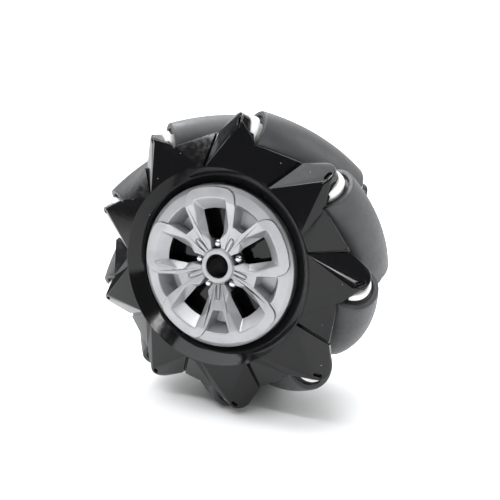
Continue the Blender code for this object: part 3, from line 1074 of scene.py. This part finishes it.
def shaft_coupling():
    """The steel sleeve, with a chamfered hexagonal head at the back."""
    outer = [
        (SHAFT_BORE, SLEEVE_FRONT, 0.3),
        (SLEEVE_RADIUS, SLEEVE_FRONT, 0.4),
        (SLEEVE_RADIUS, -HEX_FRONT - 1, 0),
        (SHAFT_BORE, -HEX_FRONT - 1, 0),
    ]
    body = turned("shaft_coupling", rounded(outer), 72)
    head = prism("hex", polygon(HEX_RADIUS, 6), -HEX_REAR, -HEX_FRONT)
    chamfered = [
        (0, -HEX_FRONT),
        (HEX_RADIUS - 0.5, -HEX_FRONT),
        (HEX_RADIUS, -HEX_FRONT - 0.35),
        (HEX_RADIUS, -HEX_REAR + 0.35),
        (HEX_RADIUS - 0.5, -HEX_REAR),
        (0, -HEX_REAR),
    ]
    limit = turned("limit", chamfered, 96, closed=False)
    combine(head, limit, "INTERSECT")
    countersunk = [
        (0, -HEX_FRONT + 1),
        (SHAFT_BORE, -HEX_FRONT + 1),
        (SHAFT_BORE, -HEX_REAR + 0.4),
        (SHAFT_BORE + 0.5, -HEX_REAR - 0.1),
        (0, -HEX_REAR - 0.1),
    ]
    bore = turned("bore", countersunk, 72, closed=False)
    combine(head, bore, "DIFFERENCE")
    combine(body, head, "UNION")
    hole = prism("hole", polygon(SET_SCREW_HOLE, 32), SHAFT_BORE - 1.5, HEX_RADIUS + 1)
    body.data.transform(FACE)
    combine(body, hole, "DIFFERENCE", set_screw_place())
    remove(head, limit, bore, hole)
    return body


def set_screw_place():
    return around(SET_SCREW_ANGLE) @ Matrix.Translation((0, SET_SCREW_PLACE, 0))


def make_fasteners(steel):
    dress(smooth(shaft_coupling(), 30.0), steel, "wheel", "shaft_coupling")
    grub = smooth(set_screw(), 30.0)
    grub.name = "coupling_set_screw_looks"
    grub.data.transform(set_screw_place())
    dress(grub, steel, "wheel", "coupling_set_screw")
    lug_seat = Matrix.Translation((0, -(LUG_SEAT + 0.3), LUG_CIRCLE)) @ FACE
    screw_seat = Matrix.Translation((0, 0.3 - REAR_WEB[1], SCREW_CIRCLE)) @ FACE.inverted()
    for pattern, name, count, start, seat in (
        (lug_bolt(), "lug_bolt", SPOKES, SPOKE_TURN, lug_seat),
        (assembly_screw(), "assembly_screw", SCREWS, SCREW_START, screw_seat),
    ):
        smooth(pattern, 30.0)
        for index in range(count):
            piece = copied(pattern, f"{name}_{index + 1}_looks")
            place = in_metres(around(start + 360.0 / count * index) @ seat)
            dress(piece, steel, "wheel", f"{name}_{index + 1}", place)
        remove(pattern)


def dress_hidden_nodes(plastic):
    """The pieces inside the wheel keep their CAD shapes."""
    for name, node in frame["nodes"].items():
        if name.endswith("_core"):
            node.data.materials.clear()
            node.data.materials.append(plastic)


# The studio


def add_floor():
    """A pale floor that curves up into a backdrop, and glows more with its distance."""
    section = [(-FLOOR_FRONT, 0.0), (BACKDROP_START, 0.0)]
    for step in range(1, 17):
        angle = math.radians(90 * step / 16)
        along, rise = math.sin(angle), 1 - math.cos(angle)
        section.append((BACKDROP_START + BACKDROP_BEND * along, BACKDROP_BEND * rise))
    section.append((BACKDROP_START + BACKDROP_BEND, BACKDROP_TOP))
    mesh = bmesh.new()
    left, right = (
        [mesh.verts.new((side, y, z - WHEEL_RADIUS * MM)) for y, z in section]
        for side in (-FLOOR_HALF_WIDTH, FLOOR_HALF_WIDTH)
    )
    for index in range(len(section) - 1):
        mesh.faces.new((left[index], right[index], right[index + 1], left[index + 1]))
    floor = mesh_object("studio_floor", mesh)
    floor.data.shade_smooth()
    made, shader = new_material("studio_paper", (0.88, 0.88, 0.88), 0.7)
    nodes = Nodes(made)
    distance = nodes.add("ShaderNodeVectorMath", operation="LENGTH")
    nodes.join(nodes.place, distance.inputs[0])
    shader.inputs["Emission Color"].default_value = (1.0, 1.0, 1.0, 1.0)
    glow = nodes.spread(distance.outputs["Value"], 0.0, 1.0, 0.1, 0.7)
    nodes.join(glow, shader.inputs["Emission Strength"])
    floor.data.materials.append(made)


def add_light(name, place, aim, size, power, colour=(1.0, 1.0, 1.0)):
    lamp = bpy.data.lights.new(name, "AREA")
    lamp.shape = "RECTANGLE"
    lamp.size, lamp.size_y = size
    lamp.energy = power
    lamp.color = colour
    made = bpy.data.objects.new(name, lamp)
    made.location = place
    made.rotation_euler = (Vector(aim) - Vector(place)).to_track_quat("-Z", "Y").to_euler()
    bpy.context.scene.collection.objects.link(made)


def add_lights():
    world = bpy.data.worlds.new("studio")
    bpy.context.scene.world = world
    world.use_nodes = True
    background = world.node_tree.nodes["Background"]
    background.inputs["Color"].default_value = (0.93, 0.96, 1.0, 1.0)
    path = world.node_tree.nodes.new("ShaderNodeLightPath")
    strength = world.node_tree.nodes.new("ShaderNodeMapRange")
    strength.inputs["To Min"].default_value = WORLD_LIGHT
    strength.inputs["To Max"].default_value = WORLD_SEEN
    world.node_tree.links.new(path.outputs["Is Camera Ray"], strength.inputs["Value"])
    world.node_tree.links.new(strength.outputs["Result"], background.inputs["Strength"])
    add_light("top_softbox", (-0.1, 0.1, 0.8), (0, 0.02, 0), (1.2, 1.0), 13.0, (0.96, 0.98, 1.0))
    add_light("edge_light", (-0.25, 0.1, 0.6), (0, 0, 0), (0.12, 0.12), 1.6)
    add_light("left_softbox", (-0.8, -0.1, 0.3), (0, 0, 0), (0.3, 0.5), 2.5)
    add_light("right_softbox", (0.7, 0.1, 0.35), (0, 0, 0), (0.3, 0.5), 2.5)
    add_light("front_strip", (0.0, -0.45, 0.75), (0, 0, 0), (1.4, 0.05), 4.0)


def add_camera():
    """A close camera to the right of the wheel's axis and a little above it."""
    azimuth, elevation, distance = math.radians(22.9), math.radians(9.0), 149.8
    wheel_aside, wheel_below = 3.35, 2.53
    level = math.cos(elevation)
    back = Vector((math.sin(azimuth) * level, -math.cos(azimuth) * level, math.sin(elevation)))
    right = Vector((math.cos(azimuth), math.sin(azimuth), 0))
    up = back.cross(right)
    lens = bpy.data.cameras.new("camera")
    lens.lens = 30.8
    lens.sensor_width = 36
    lens.clip_start = 0.001
    made = bpy.data.objects.new("camera", lens)
    turn = Matrix((right, up, back)).transposed().to_4x4()
    turn.translation = (back * distance + right * wheel_aside + up * wheel_below) * MM
    made.matrix_world = turn
    bpy.context.scene.collection.objects.link(made)
    bpy.context.scene.camera = made


add_camera()
add_floor()
add_lights()
bpy.context.scene.view_settings.view_transform = "Standard"

steel_finish = bright_steel()
bare_plastic_and_shade = matt_black()
make_flanges(gloss_black())
make_rim(silver_paint(), bare_plastic_and_shade)
make_rollers(dark_rubber(), white_nylon(), steel_finish)
make_fasteners(steel_finish)
dress_hidden_nodes(bare_plastic_and_shade)
